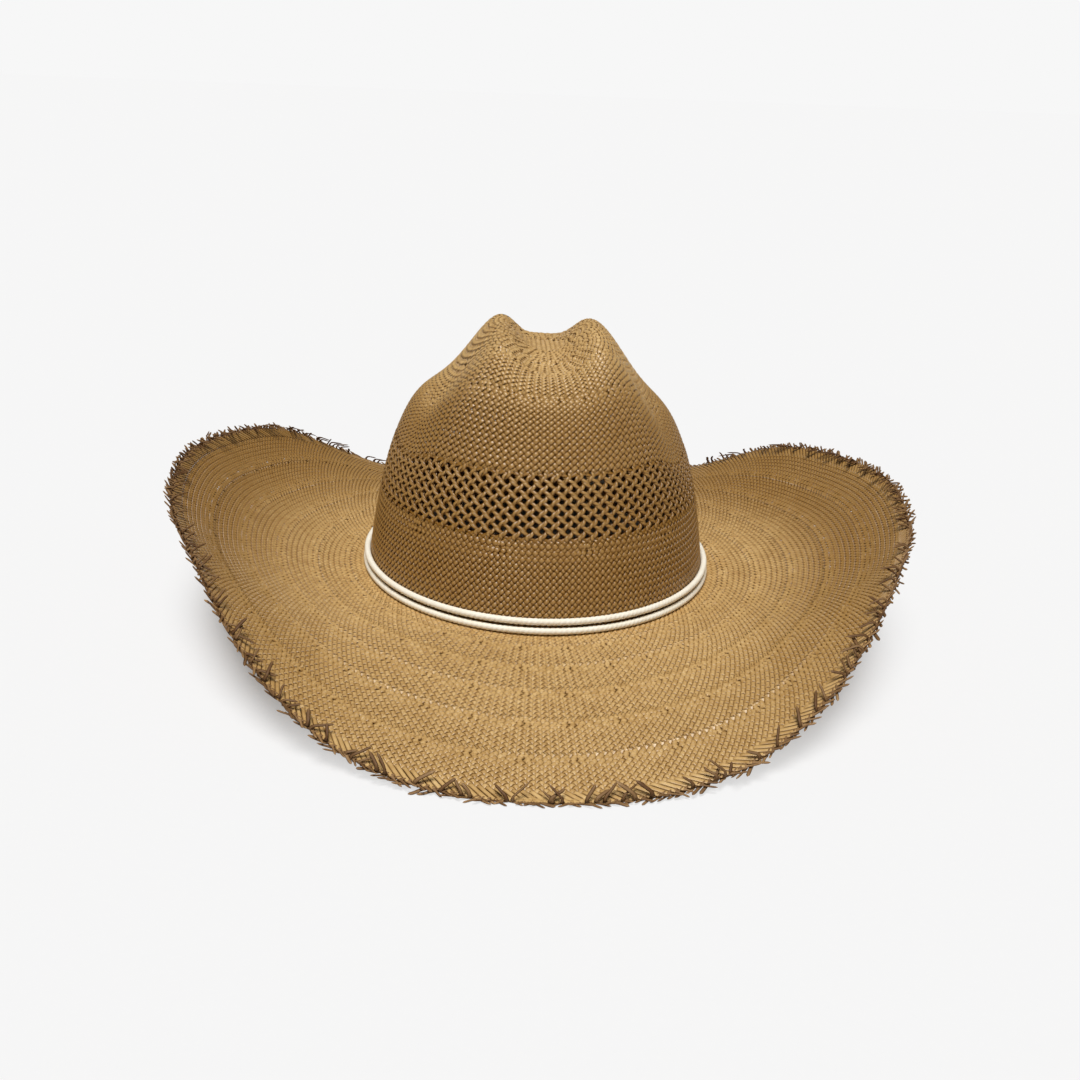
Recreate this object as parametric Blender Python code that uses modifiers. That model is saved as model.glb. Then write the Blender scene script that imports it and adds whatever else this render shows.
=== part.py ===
"""Woven straw cowboy hat with a cattleman crease, a rolled brim, a frayed edge and a double cord hatband.

Metres, +Z up, the front of the hat towards -Y. The origin is on the table under the middle of the hat,
which stands on the front and rear lips of its brim. Angles round the head run from the front (0)
through the wearer's left, +X (a quarter turn), to the rear (a half turn).
"""

import math

import bmesh
import bpy
from mathutils import Matrix, Vector

# Head oval, outside the crown wall at the brim break
HALF_WIDTH = 0.090
HALF_LENGTH = 0.108
BREAK_HEIGHT = 0.0208
REAR_RADIUS = HALF_WIDTH**2 / HALF_LENGTH

# Straw shell
WALL = 0.0016
GAP = 0.0003

# Crown: an open superelliptic dome, then creased from above
OPEN_HEIGHT = 0.1362
DOME_POWER = 3.6
DOME_ROUNDNESS = 0.78
CREASE_DEPTH = 0.0190
CREASE_HALF_WIDTH = 0.0190
CREASE_OFFSET = 0.0018
DENT_DEPTH = 0.0205
DENT_OFFSET = 0.051
DENT_HALF_WIDTH = 0.0205

# Brim: a flat oval ring, bent up along lines that run front to back, with dipped lips
BRIM_WIDTH = 0.1150
WIDTH_AT_ENDS = 0.0027
WIDTH_AT_QUARTERS = 0.0023
BEND_START_FRONT = 0.0608
BEND_START_REAR = 0.0657
BEND_LINE_LENGTH = 0.1086
BEND_RADIUS = 0.1176
BEND_ANGLE = 0.7487
RIGHT_RADIUS_SHARE = 0.0472
RIGHT_ANGLE_SHARE = -0.0185
DIP = 0.0209
DIP_START = 0.0966
DIP_FULL = 0.2287
DIP_SIDE = 0.2107

# Edge of the brim, whose trim stays a little above the table
TRIM_CLEARANCE = 0.0004
WEFT_RADIUS = 0.0008
FRINGE_LENGTH = 0.0065
FRINGE_HALF_THICKNESS = 0.0019

# Hatband
CORD_RADIUS = 0.00155
CORD_PITCH = 0.0045
KEEPER_HALF_WIDTH = 0.0055
KEEPER_HALF_DEPTH = 0.0026
KEEPER_HALF_HEIGHT = 0.0046

# Sweatband and its trim
SWEATBAND_THICKNESS = 0.0011
SWEATBAND_CLEARANCE = 0.0009
SWEATBAND_TOP = 0.044
REED_RADIUS = 0.0014
THREAD_RADIUS = 0.0004
THREAD_HEIGHT = 0.0065
BOW_HALF_WIDTH = 0.016
BOW_HALF_HEIGHT = 0.0055
BOW_THICKNESS = 0.0012
BOW_WAIST = 0.3
BOW_SHOULDER = 0.85
TRIM_HEIGHT = 0.026
TAG_WIDTH = 0.018
TAG_HEIGHT = 0.024
TAG_THICKNESS = 0.0005
TAG_ANGLE = math.radians(152)

CROWN_COLUMNS = 48
CROWN_ROWS = 18
BRIM_COLUMNS = 64
BRIM_ROWS = 9
TABLE_CUT = 0.01
FRINGE_SIDES = 6

STRAW = (0.52, 0.33, 0.15)
STRAW_DARK = (0.24, 0.12, 0.045)
IVORY = (0.90, 0.85, 0.72)
LEATHER = (0.28, 0.15, 0.07)
REED = (0.72, 0.62, 0.45)
THREAD = (0.80, 0.74, 0.60)
RIBBON = (0.12, 0.07, 0.04)
TAG = (0.88, 0.86, 0.80)


def smooth_step(low, high, value):
    t = min(max((value - low) / (high - low), 0.0), 1.0)
    return t * t * (3 - 2 * t)


def dome_height(share):
    """Height of the uncreased dome above the brim break, at this share of the head oval."""
    return OPEN_HEIGHT * (1 - share**DOME_POWER) ** DOME_ROUNDNESS


def dome_share(height):
    """The share of the head oval that the crown wall has shrunk to at this height above the break."""
    return (1 - (height / OPEN_HEIGHT) ** (1 / DOME_ROUNDNESS)) ** (1 / DOME_POWER)


def crease_depth(x, y, share):
    """How far the centre crease and the two side dents push the dome down at a point seen from above."""
    on_top = smooth_step(0.97, 0.82, share)
    along_crease = smooth_step(-0.088, -0.038, y) * (1 - smooth_step(0.035, 0.090, y))
    from_fold = abs(x - CREASE_OFFSET)
    across_crease = math.exp(-((from_fold / CREASE_HALF_WIDTH) ** 3))
    along_dent = smooth_step(-0.066, -0.025, y) * (1 - 0.85 * smooth_step(0.020, 0.085, y))
    across_dent = math.exp(-(((from_fold - DENT_OFFSET) / DENT_HALF_WIDTH) ** 2))
    crease = CREASE_DEPTH * along_crease * across_crease
    dent = DENT_DEPTH * along_dent * across_dent
    return on_top * (crease + dent)


def crown_point(angle, share):
    """A point of the crown's outside, share running from 1 at the break to 0 at the middle of the top."""
    x = HALF_WIDTH * share * math.sin(angle)
    y = -HALF_LENGTH * share * math.cos(angle)
    height = dome_height(share) - crease_depth(x, y, share)
    return (x, y, BREAK_HEIGHT + GAP + height)


def oval_point(angle, inset, height):
    """A point inset from the crown wall's outside at a height above the break, and its outward normal."""
    share = dome_share(max(height, 0.0))
    half_width = HALF_WIDTH * share - inset
    half_length = HALF_LENGTH * share - inset
    return (
        half_width * math.sin(angle),
        -half_length * math.cos(angle),
        BREAK_HEIGHT + height,
    )


def brim_width(angle):
    return BRIM_WIDTH + WIDTH_AT_ENDS * math.cos(2 * angle) + WIDTH_AT_QUARTERS * math.cos(4 * angle)


def bend_start(y):
    """The distance from the middle plane where the brim starts to bend up."""
    front_share = 1 / (1 + math.exp(y / 0.05))
    lip = BEND_START_REAR + (BEND_START_FRONT - BEND_START_REAR) * front_share
    return lip + (HALF_WIDTH - lip) / (1 + (y / BEND_LINE_LENGTH) ** 4)


def brim_point(angle, reach, lift=0.0):
    """A point of the brim's top, reach being the flat distance outwards from the break.

    lift moves it along the sheet's normal, up or in.
    """
    normal_x = math.sin(angle) / HALF_WIDTH
    normal_y = -math.cos(angle) / HALF_LENGTH
    size = math.hypot(normal_x, normal_y)
    flat_x = HALF_WIDTH * math.sin(angle) + normal_x / size * reach
    y = -HALF_LENGTH * math.cos(angle) + normal_y / size * reach
    side = 1 if flat_x >= 0 else -1
    start = bend_start(y)
    radius = BEND_RADIUS * (1 + RIGHT_RADIUS_SHARE * side)
    full_angle = BEND_ANGLE * (1 + RIGHT_ANGLE_SHARE * side)
    along = max(abs(flat_x) - start, 0.0)
    bend = min(along / radius, full_angle)
    straight = max(along - radius * full_angle, 0.0)
    x = min(abs(flat_x), start) + radius * math.sin(bend) + straight * math.cos(full_angle)
    rise = radius * (1 - math.cos(bend)) + straight * math.sin(full_angle)
    share = min(max((abs(y) - DIP_START) / (DIP_FULL - DIP_START), 0.0), 1.5)
    flat_share = 1 - min(abs(flat_x) / DIP_SIDE, 1.0) ** 2
    drop = DIP * share**2 * (3 - share) / 2 * flat_share
    z = BREAK_HEIGHT + rise - drop
    return (side * (x - lift * math.sin(bend)), y, z + lift * math.cos(bend))


def straw_material(name, colour, roughness):
    material = bpy.data.materials.new(name)
    material.use_nodes = True
    shader = material.node_tree.nodes["Principled BSDF"]
    shader.inputs["Base Color"].default_value = (*colour, 1)
    shader.inputs["Roughness"].default_value = roughness
    shader.inputs["Metallic"].default_value = 0.0
    return material


def add_object(name, data, material):
    piece = bpy.data.objects.new(name, data)
    data.materials.append(material)
    hat.objects.link(piece)
    return piece


def add_sheet(name, columns, rows, point, material):
    """A grid wrapped once round the head: point(turn, row) places it, both running from 0 to 1."""
    sheet = bmesh.new()
    bmesh.ops.create_grid(sheet, x_segments=columns, y_segments=rows, size=0.5)
    for vertex in sheet.verts:
        vertex.co = point(vertex.co.x + 0.5, vertex.co.y + 0.5)
    bmesh.ops.remove_doubles(sheet, verts=sheet.verts, dist=0.00001)
    bmesh.ops.recalc_face_normals(sheet, faces=sheet.faces)
    mesh = bpy.data.meshes.new(name)
    sheet.to_mesh(mesh)
    sheet.free()
    mesh.shade_smooth()
    return add_object(name, mesh, material)


def thicken(piece, thickness, offset):
    shell = piece.modifiers.new("wall", "SOLIDIFY")
    shell.thickness = thickness
    shell.offset = offset
    shell.use_even_offset = True


def add_tube(name, points, radius, material, closed, bevel_resolution=1):
    """A tube along a list of points."""
    curve = bpy.data.curves.new(name, "CURVE")
    curve.dimensions = "3D"
    curve.bevel_depth = radius
    curve.bevel_resolution = bevel_resolution
    curve.use_fill_caps = not closed
    spline = curve.splines.new("POLY")
    spline.points.add(len(points) - 1)
    spline.use_cyclic_u = closed
    for place, point in zip(spline.points, points):
        place.co = (*point, 1)
    return add_object(name, curve, material)


def turns(count):
    return [2 * math.pi * i / count for i in range(count)]


def build_crown():
    def point(turn, row):
        return crown_point(2 * math.pi * turn, math.cos(math.pi / 2 * row))

    crown = add_sheet("crown", CROWN_COLUMNS, CROWN_ROWS, point, straw_material("crown_straw", STRAW, 0.55))
    thicken(crown, WALL, -1)


def build_brim():
    """The rolled sheet, its two lips worn flat where they stand on the table."""
    def point(turn, row):
        angle = 2 * math.pi * turn
        return brim_point(angle, -WALL + (brim_width(angle) + WALL) * row)

    brim = add_sheet("brim", BRIM_COLUMNS, BRIM_ROWS, point, straw_material("brim_straw", STRAW, 0.6))
    thicken(brim, WALL, -1)
    bpy.ops.mesh.primitive_cube_add(size=1, location=(0, 0, -TABLE_CUT / 2))
    cutter = bpy.context.object
    cutter.name = "table_cutter"
    cutter.scale = (2 * HALF_WIDTH, 6 * HALF_LENGTH, TABLE_CUT)
    cutter.hide_render = True
    cutter.display_type = "WIRE"
    bpy.context.collection.objects.unlink(cutter)
    cutters.objects.link(cutter)
    flat = brim.modifiers.new("flat_lips", "BOOLEAN")
    flat.operation = "DIFFERENCE"
    flat.object = cutter


def build_edge_weft():
    """The last weft row, which keeps the weave from running out."""
    points = []
    for angle in turns(BRIM_COLUMNS):
        x, y, z = brim_point(angle, brim_width(angle) + GAP + WEFT_RADIUS, -WALL / 2)
        points.append((x, y, max(z, WEFT_RADIUS + TRIM_CLEARANCE)))
    material = straw_material("weft_straw", STRAW_DARK, 0.6)
    add_tube("brim_edge_weft", points, WEFT_RADIUS, material, True, 0)


def build_fringe():
    """The uncut straw ends all round the edge, as the space they fill."""
    start = 2 * GAP + 2 * WEFT_RADIUS + FRINGE_LENGTH / 2

    def point(turn, row):
        angle = 2 * math.pi * turn
        corner = 2 * math.pi * row
        reach = brim_width(angle) + start + FRINGE_LENGTH / 2 * math.cos(corner)
        lift = FRINGE_HALF_THICKNESS * (1 + math.sin(corner))
        x, y, z = brim_point(angle, reach, lift - WALL / 2)
        return (x, y, max(z, TRIM_CLEARANCE))

    material = straw_material("fringe_straw", STRAW_DARK, 0.7)
    add_sheet("frayed_fringe", BRIM_COLUMNS, FRINGE_SIDES, point, material)


def build_hatband():
    """Two turns of ivory cord lying against the crown, joined by a wrapped keeper at the rear."""
    ivory = straw_material("ivory_cord", IVORY, 0.5)
    inset = -(CORD_RADIUS + GAP)
    rear_half = HALF_WIDTH + CORD_RADIUS
    half_opening = (KEEPER_HALF_WIDTH + GAP) / rear_half
    count = BRIM_COLUMNS
    for row, name in enumerate(("hatband_lower_cord", "hatband_upper_cord")):
        height = CORD_RADIUS + GAP + row * CORD_PITCH
        points = []
        for i in range(count + 1):
            angle = -math.pi + half_opening + 2 * (math.pi - half_opening) * i / count
            points.append(oval_point(angle, inset, height))
        add_tube(name, points, CORD_RADIUS, ivory, False)
    middle = CORD_RADIUS + GAP + CORD_PITCH / 2
    keeper = bmesh.new()
    bmesh.ops.create_uvsphere(keeper, u_segments=16, v_segments=8, radius=1)
    centre = oval_point(math.pi, -(KEEPER_HALF_DEPTH + 2 * GAP), middle)
    low = BREAK_HEIGHT + GAP
    for vertex in keeper.verts:
        vertex.co.x = centre[0] + KEEPER_HALF_WIDTH * vertex.co.x
        vertex.co.y = centre[1] + KEEPER_HALF_DEPTH * vertex.co.y
        vertex.co.z = max(centre[2] + KEEPER_HALF_HEIGHT * vertex.co.z, low)
    bmesh.ops.remove_doubles(keeper, verts=keeper.verts, dist=0.00001)
    mesh = bpy.data.meshes.new("hatband_keeper")
    keeper.to_mesh(mesh)
    keeper.free()
    add_object("hatband_keeper", mesh, straw_material("ivory_keeper", IVORY, 0.55))


def build_sweatband():
    """The leather strip inside the crown's base, its reed and the thread that holds them."""
    outside = WALL + SWEATBAND_CLEARANCE
    bottom = REED_RADIUS * 2 + GAP

    def point(turn, row):
        height = bottom + (SWEATBAND_TOP - bottom) * row
        return oval_point(2 * math.pi * turn, outside, height)

    band = add_sheet("sweatband", CROWN_COLUMNS, 3, point, straw_material("sweatband_leather", LEATHER, 0.45))
    thicken(band, SWEATBAND_THICKNESS, -1)

    reed_points = []
    thread_points = []
    for angle in turns(CROWN_COLUMNS):
        reed_points.append(oval_point(angle, outside + REED_RADIUS, REED_RADIUS))
        thread_inset = outside + SWEATBAND_THICKNESS + GAP + THREAD_RADIUS
        thread_points.append(oval_point(angle, thread_inset, THREAD_HEIGHT))
    reed_material = straw_material("reed_cotton", REED, 0.7)
    add_tube("sweatband_reed", reed_points, REED_RADIUS, reed_material, True)
    thread_material = straw_material("thread_cotton", THREAD, 0.7)
    add_tube("sweatband_thread", thread_points, THREAD_RADIUS, thread_material, True, 0)


def lay_on_sweatband(piece, angle, half_width, thickness):
    """Lays a flat piece drawn in its own XY plane against the sweatband's inner face."""
    chord_room = half_width**2 / (1.8 * REAR_RADIUS)
    inset = WALL + SWEATBAND_CLEARANCE + SWEATBAND_THICKNESS + 2 * GAP + thickness / 2 + chord_room
    middle = Vector(oval_point(angle, inset, TRIM_HEIGHT))
    above = Vector(oval_point(angle, inset, TRIM_HEIGHT + TAG_HEIGHT / 2))
    below = Vector(oval_point(angle, inset, TRIM_HEIGHT - TAG_HEIGHT / 2))
    up = (above - below).normalized()
    across = Vector((HALF_WIDTH * math.cos(angle), HALF_LENGTH * math.sin(angle), 0)).normalized()
    place = Matrix((across, up, across.cross(up))).transposed().to_4x4()
    place.translation = middle
    piece.matrix_world = place


def build_bow():
    """The flat ribbon bow over the sweatband's join, at the rear."""
    outline = bpy.data.curves.new("sweatband_bow", "CURVE")
    outline.dimensions = "2D"
    outline.fill_mode = "BOTH"
    outline.extrude = BOW_THICKNESS / 2
    spline = outline.splines.new("POLY")
    shape = []
    for side in (1, -1):
        shape.append((side * BOW_WAIST, -side * BOW_WAIST))
        shape.append((side * BOW_SHOULDER, -side))
        shape.append((side, 0.0))
        shape.append((side * BOW_SHOULDER, side))
        shape.append((side * BOW_WAIST, side * BOW_WAIST))
    spline.points.add(len(shape) - 1)
    spline.use_cyclic_u = True
    for place, (x, y) in zip(spline.points, shape):
        place.co = (x * BOW_HALF_WIDTH, y * BOW_HALF_HEIGHT, 0, 1)
    bow = add_object("sweatband_bow", outline, straw_material("bow_ribbon", RIBBON, 0.5))
    lay_on_sweatband(bow, math.pi, BOW_HALF_WIDTH, BOW_THICKNESS)


def build_size_tag():
    """The small blank tag sewn to the sweatband beside the bow."""
    tag = bmesh.new()
    bmesh.ops.create_cube(tag, size=1)
    for vertex in tag.verts:
        vertex.co.x *= TAG_WIDTH
        vertex.co.y *= TAG_HEIGHT
        vertex.co.z *= TAG_THICKNESS
    mesh = bpy.data.meshes.new("size_tag")
    tag.to_mesh(mesh)
    tag.free()
    piece = add_object("size_tag", mesh, straw_material("tag_paper", TAG, 0.7))
    lay_on_sweatband(piece, TAG_ANGLE, TAG_WIDTH / 2, TAG_THICKNESS)


for old in list(bpy.data.objects):
    bpy.data.objects.remove(old)
hat = bpy.data.collections.new("cowboy_hat")
bpy.context.scene.collection.children.link(hat)
cutters = bpy.data.collections.new("cutters")
bpy.context.scene.collection.children.link(cutters)

build_crown()
build_brim()
build_edge_weft()
build_fringe()
build_hatband()
build_sweatband()
build_bow()
build_size_tag()
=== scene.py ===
"""Looks of a hand-woven straw cowboy hat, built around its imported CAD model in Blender 4.5.

The crown and the brim are woven here as the real hat is: two families of flat straws wind round the
hat in opposite directions, and pass over and under each other at every crossing. The weave starts at
the tip of the crown and gains straws as it widens. It opens into a band of vents on the crown, and
ends in a raw, frayed edge. Lengths are metres, +Z is up, and the front of the hat faces -Y.
Angles run round the hat from the front, towards +X.
"""

import math

import bpy
import numpy as np
from mathutils import Matrix, Vector


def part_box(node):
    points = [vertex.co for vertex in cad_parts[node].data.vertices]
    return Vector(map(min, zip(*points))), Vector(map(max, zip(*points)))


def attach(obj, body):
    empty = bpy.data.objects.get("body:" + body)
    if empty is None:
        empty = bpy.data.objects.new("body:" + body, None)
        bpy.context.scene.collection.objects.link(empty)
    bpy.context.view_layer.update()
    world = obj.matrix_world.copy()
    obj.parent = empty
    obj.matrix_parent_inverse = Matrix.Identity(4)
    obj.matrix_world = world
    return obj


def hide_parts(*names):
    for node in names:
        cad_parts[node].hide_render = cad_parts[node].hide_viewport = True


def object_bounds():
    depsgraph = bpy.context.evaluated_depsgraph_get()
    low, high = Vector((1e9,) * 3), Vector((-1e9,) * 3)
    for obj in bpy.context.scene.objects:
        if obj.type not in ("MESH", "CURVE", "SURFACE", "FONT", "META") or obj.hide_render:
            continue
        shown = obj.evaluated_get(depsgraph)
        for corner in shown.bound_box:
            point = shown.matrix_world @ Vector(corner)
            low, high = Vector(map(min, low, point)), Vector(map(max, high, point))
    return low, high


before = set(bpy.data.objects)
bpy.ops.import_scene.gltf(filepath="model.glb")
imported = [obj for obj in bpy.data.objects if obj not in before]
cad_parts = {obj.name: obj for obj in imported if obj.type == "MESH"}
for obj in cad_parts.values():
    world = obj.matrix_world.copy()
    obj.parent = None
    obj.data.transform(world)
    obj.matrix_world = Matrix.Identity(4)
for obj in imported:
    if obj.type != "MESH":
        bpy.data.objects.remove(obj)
cad_low, cad_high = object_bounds()

MM = 0.001
TURN = 2 * math.pi
UPWARD = np.array([0.0, 0.0, 1.0])
HAT_HALF_WIDTH = (cad_high.x - cad_low.x) / 2
HAT_HALF_LENGTH = (cad_high.y - cad_low.y) / 2

# The crown and the brim, as in the CAD model.
CROWN_LOW, CROWN_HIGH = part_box("crown")
HALF_WIDTH = (CROWN_HIGH.x - CROWN_LOW.x) / 2
HALF_LENGTH = (CROWN_HIGH.y - CROWN_LOW.y) / 2
MEAN_RADIUS = (HALF_WIDTH + HALF_LENGTH) / 2
REAR_RADIUS = HALF_WIDTH**2 / HALF_LENGTH
WALL = 1.6 * MM
GAP = 0.3 * MM
BREAK_HEIGHT = 20.8 * MM
OPEN_HEIGHT = 136.2 * MM
DOME_POWER = 3.6
DOME_ROUNDNESS = 0.78

CREASE_DEPTH = 19.0 * MM
CREASE_HALF_WIDTH = 19.0 * MM
CREASE_OFFSET = 1.8 * MM
CREASE_FRONT = (-88 * MM, -38 * MM)
CREASE_REAR = (35 * MM, 90 * MM)
DENT_DEPTH = 20.5 * MM
DENT_OFFSET = 51.0 * MM
DENT_HALF_WIDTH = 20.5 * MM
DENT_FRONT = (-66 * MM, -25 * MM)
DENT_REAR = (20 * MM, 85 * MM)
DENT_REAR_SHARE = 0.85

BRIM_WIDTH = 115.0 * MM
WIDTH_AT_ENDS = 2.7 * MM
WIDTH_AT_QUARTERS = 2.3 * MM
BEND_START_FRONT = 60.8 * MM
BEND_START_REAR = 65.7 * MM
BEND_START_FADE = 50 * MM
BEND_LINE_LENGTH = 108.6 * MM
BEND_RADIUS = 117.6 * MM
BEND_ANGLE = 0.7487
RIGHT_RADIUS_SHARE = 0.0472
RIGHT_ANGLE_SHARE = -0.0185
DIP = 20.9 * MM
DIP_START = 96.6 * MM
DIP_FULL = 228.7 * MM
DIP_SIDE = 210.7 * MM

# The weave.
PITCH = 3.45 * MM
EDGE_PITCH = 2.85 * MM
ROW = 1.62 * MM
BRIM_ROW = 1.45 * MM
VENT_ROW = 1.34 * MM
VENT_HIGH = 74 * MM
VENT_LOW = 42 * MM
VENT_PITCH = 3.3 * MM
CROWN_GROWTH = 1.25
BRIM_GROWTH = 1.11
START_ALLOWANCE = 0.34
LOOK_AHEAD_ROWS = 4
START_ROWS = (2, 8)
START_TAPER = 0.12
TIP_RADIUS = 14 * MM
TIP_OVERLAP = 1.2 * MM
TIP_PITCH = 2.35 * MM
TIP_SINK = 0.1 * MM
TIP_AGE = 0.05
FILLET = 1.6 * MM
CROWN_FADE = 8 * MM
STRAW_THICKNESS = 0.72 * MM
STRAW_SHARES = (0.90, 1.05)
STRAW_HALF_WIDTHS = (0.5 * MM, 1.5 * MM)
WAVE = 0.56 * MM
COVER = 1.0
CROWN_COVER = 0.94
WIDER_SHARE = 0.06
UPPER_SHARE = 0.20
BRIM_UPPER_SHARE = 0.06
BULGE = 0.16
VENT_WAVE = 0.45 * MM
VENT_HALF_WIDTH = 0.85 * MM
VENT_HALF_THICKNESS = 0.45 * MM
PAIR_OFFSET = 0.22
CROWN_STEPS_PER_ROW = 4
BRIM_STEPS_PER_ROW = 2
JOIN_ROWS = 6
FLOAT_ROWS = 4
LOWEST = 0.15 * MM
MOST_TRIANGLES = 180000
STRAW_GROUPS = 6
# The values each straw point carries; the last holds browning and painted shade.
STRAW_VALUES = ("tone", "along", "across", "age_and_shade")
STRAW_SECTION = ((-1.0, 0.0), (-0.55, 0.87), (0.55, 0.87), (1.0, 0.0), (0.55, -0.87), (-0.55, -0.87))

# How dark the straw's colour is made, from 0 to 1: painted shade on the crown's wall, on the brim's raised
# sides and where a straw passes under, painted shadow on the rear brim behind the crown, and the straw's own
# browning in patches.
WALL_PAINTED_SHADE = 0.66
SIDE_PAINTED_SHADE = 0.55
REAR_PAINTED_SHADOW = 0.30
PATCH_AGE = 0.10
UNDER_PAINTED_SHADE = 0.50

# The frayed edge: most ends are stubs, some curl back over the top, and a few stand out. Turns, leans
# and kinks are angles.
CURLED_SHARE = 0.28
STANDING_SHARE = 0.02
STUB_LENGTHS = (4.0 * MM, 7.5 * MM)
CURL_LENGTHS = (6.0 * MM, 12.0 * MM)
STANDING_LENGTHS = (6.0 * MM, 11.0 * MM)
STUB_TURNS = (-0.3, 0.5)
CURL_TURNS = (2.5, 3.0)
STANDING_TURNS = (-0.3, 0.7)
STUB_LEANS = (-0.1, 0.8)
CURL_LEANS = (-0.35, 0.35)
STANDING_KINKS = (-1.6, 1.6)
STUB_AGES = (0.1, 0.8)
CURL_AGES = (0.5, 1.0)
CURL_HEIGHTS_MM = (0.5, 1.1)
FRAY_STEPS = 9
FRAY_HALF_WIDTHS = (0.45 * MM, 0.85 * MM)
FRAY_HALF_THICKNESS = 0.34 * MM
EDGE_CORD_STEPS = 2400
EDGE_CORD_INSET = 0.6 * MM
EDGE_CORD_RADIUS = 0.5 * MM
EDGE_CORD_FULLNESS = 1.15
EDGE_CORD_TWIST = 5.0 * MM
EDGE_CORD_AGE = 0.5

# The hatband and the sweatband.
CORD_RADIUS = 1.55 * MM
CORD_PITCH = 4.5 * MM
CORD_PLIES = 3
CORD_PLY_DEPTH = 0.07
CORD_TWIST = 7.5 * MM
CORD_HALF_OPENING = 5.0 * MM
KEEPER_WRAPS = 6
KEEPER_SQUARENESS = 0.7
KEEPER_FULLNESS = 1.04
SWEATBAND_THICKNESS = 1.1 * MM
SWEATBAND_CLEARANCE = 0.9 * MM
SWEATBAND_TOP = 44 * MM
SWEATBAND_RIPPLE = 0.12 * MM
REED_RADIUS = 1.4 * MM
THREAD_RADIUS = 0.4 * MM
THREAD_HEIGHT = 6.5 * MM
STITCH_LENGTH = 2.6 * MM
STITCH_PITCH = 3.6 * MM
TRIM_HEIGHT = 26 * MM
BOW_HALF_WIDTH = 16 * MM
BOW_HALF_HEIGHT = 5.5 * MM
BOW_THICKNESS = 1.2 * MM
RIBBON_THICKNESS = 0.22 * MM
RIBBON_SECTION = ((-1, -1), (0, -1.1), (1, -1), (1, 1), (0, 1.1), (-1, 1))
TAG_WIDTH = 18 * MM
TAG_HEIGHT = 24 * MM
TAG_THICKNESS = 0.5 * MM
TAG_CORNER = 0.12
TAG_ANGLE = math.radians(152)

# The camera, the light and the floor. The floor's glow is what only the camera sees. It fades under the
# hat, between two shares of the hat's half size, and this paints a shadow on the floor under the hat.
LENS = 43.22
SENSOR = 36.0
CAMERA_PLACE = Vector((-0.0302, -0.6718, 0.2622))
CAMERA_DIRECTION = Vector((0.0354, 0.9465, -0.3207))
CAMERA_UP = Vector((-0.0257, 0.3216, 0.9465))
CAMERA_SHIFT = (0.01234, -0.00748)

SUN_DIRECTION = Vector((0.05, 0.36, -0.93))
SUN_STRENGTH = 3.3
SUN_SPREAD = math.radians(28)
SUN_COLOUR = (1.0, 0.99, 0.975)
SURROUND_COLOUR = (0.93, 0.93, 0.93, 1)
SURROUND_LIGHT = 0.13
FLOOR_GLOW = 0.80
FLOOR_PAINTED_SHADOW_FADE = (0.72, 1.02)
FLOOR_HALF_SIZE = 400.0

random = np.random.default_rng(20)


# ---- shapes


def smooth_step(low, high, value):
    """0 below low, 1 above high and a smooth rise between them."""
    share = np.clip((value - low) / (high - low), 0, 1)
    return share * share * (3 - 2 * share)


def unit(vectors):
    """Vectors of length one, along the last axis."""
    length = np.linalg.norm(vectors, axis=-1, keepdims=True)
    return vectors / np.maximum(length, 1e-12)


def dome_height(share):
    """Height of the open dome above the break, at a share of the way from its tip (0) to the break (1)."""
    return OPEN_HEIGHT * np.maximum(1 - share**DOME_POWER, 0) ** DOME_ROUNDNESS


def dome_share(height):
    """The share of the way from tip to break at which the open dome has a height."""
    height = np.clip(height, 0, OPEN_HEIGHT)
    return (1 - (height / OPEN_HEIGHT) ** (1 / DOME_ROUNDNESS)) ** (1 / DOME_POWER)


def crown_surface(angle, share):
    """Outer face of the crown with its crease and its two side dents."""
    x = HALF_WIDTH * share * np.sin(angle)
    y = -HALF_LENGTH * share * np.cos(angle)
    on_top = 1 - smooth_step(0.82, 0.97, share)
    crease = CREASE_DEPTH * smooth_step(*CREASE_FRONT, y) * (1 - smooth_step(*CREASE_REAR, y))
    from_fold = np.abs(x - CREASE_OFFSET)
    crease = crease * np.exp(-((from_fold / CREASE_HALF_WIDTH) ** 3))
    dent = DENT_DEPTH * smooth_step(*DENT_FRONT, y) * (1 - DENT_REAR_SHARE * smooth_step(*DENT_REAR, y))
    dent = dent * np.exp(-(((from_fold - DENT_OFFSET) / DENT_HALF_WIDTH) ** 2))
    z = BREAK_HEIGHT + GAP + dome_height(share) - on_top * (crease + dent)
    return np.stack([x, y, z], axis=-1)


def oval_point(angle, inset, height):
    """Points inset from the crown wall's outside, at a height above the break."""
    share = dome_share(height)
    x = (HALF_WIDTH * share - inset) * np.sin(angle)
    y = -(HALF_LENGTH * share - inset) * np.cos(angle)
    return np.stack(np.broadcast_arrays(x, y, BREAK_HEIGHT + height), axis=-1)


def brim_width(angle):
    """Width of the brim along its own surface."""
    return BRIM_WIDTH + WIDTH_AT_ENDS * np.cos(2 * angle) + WIDTH_AT_QUARTERS * np.cos(4 * angle)


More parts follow.
